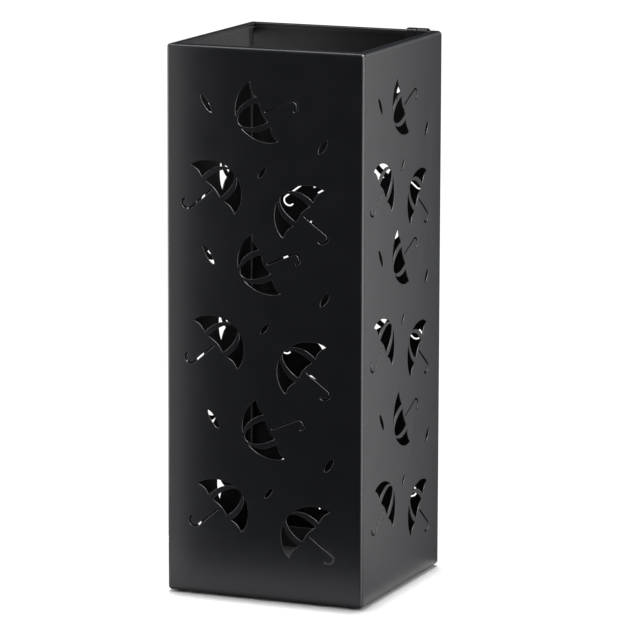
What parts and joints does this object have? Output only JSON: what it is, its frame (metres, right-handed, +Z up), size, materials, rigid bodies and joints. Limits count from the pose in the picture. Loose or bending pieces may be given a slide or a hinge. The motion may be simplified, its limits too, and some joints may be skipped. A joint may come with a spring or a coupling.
{
  "type": "umbrella stand",
  "caption": "Square sheet-steel umbrella stand with umbrella and raindrop cut-outs, folded rim, lift-out drip tray and strip hooks on the rim.",
  "frame": {"origin": "on the floor, in the middle of the stand's footprint", "axes": "+Z up along the stand's height, -Y towards the front face, +X to the right as seen from the front"},
  "size_m": [0.155, 0.1565, 0.4082],
  "materials": {
    "powder_coated_steel": "satin black powder coat",
    "black_plastic": "fine matte",
    "black_rubber": "matte"
  },
  "bodies": {
    "stand": {"shell_front_right": "powder_coated_steel", "shell_back_left": "powder_coated_steel", "base_plate": "powder_coated_steel", "foot_front_left": "black_rubber", "foot_front_right": "black_rubber", "foot_back_left": "black_rubber", "foot_back_right": "black_rubber"},
    "tray": {"drip_tray": "black_plastic"},
    "left_hook": {"hook_left": "powder_coated_steel"},
    "right_hook": {"hook_right": "powder_coated_steel"}
  },
  "joints": [
    {"name": "tray_lift", "type": "slide", "parent": "stand", "child": "tray", "axis": [0, 0, 1], "range_m": [0, 0.33]},
    {"name": "left_hook_lift", "type": "slide", "parent": "stand", "child": "left_hook", "axis": [0, 0, 1], "range_m": [0, 0.055]},
    {"name": "right_hook_lift", "type": "slide", "parent": "stand", "child": "right_hook", "axis": [0, 0, 1], "range_m": [0, 0.055]}
  ]
}
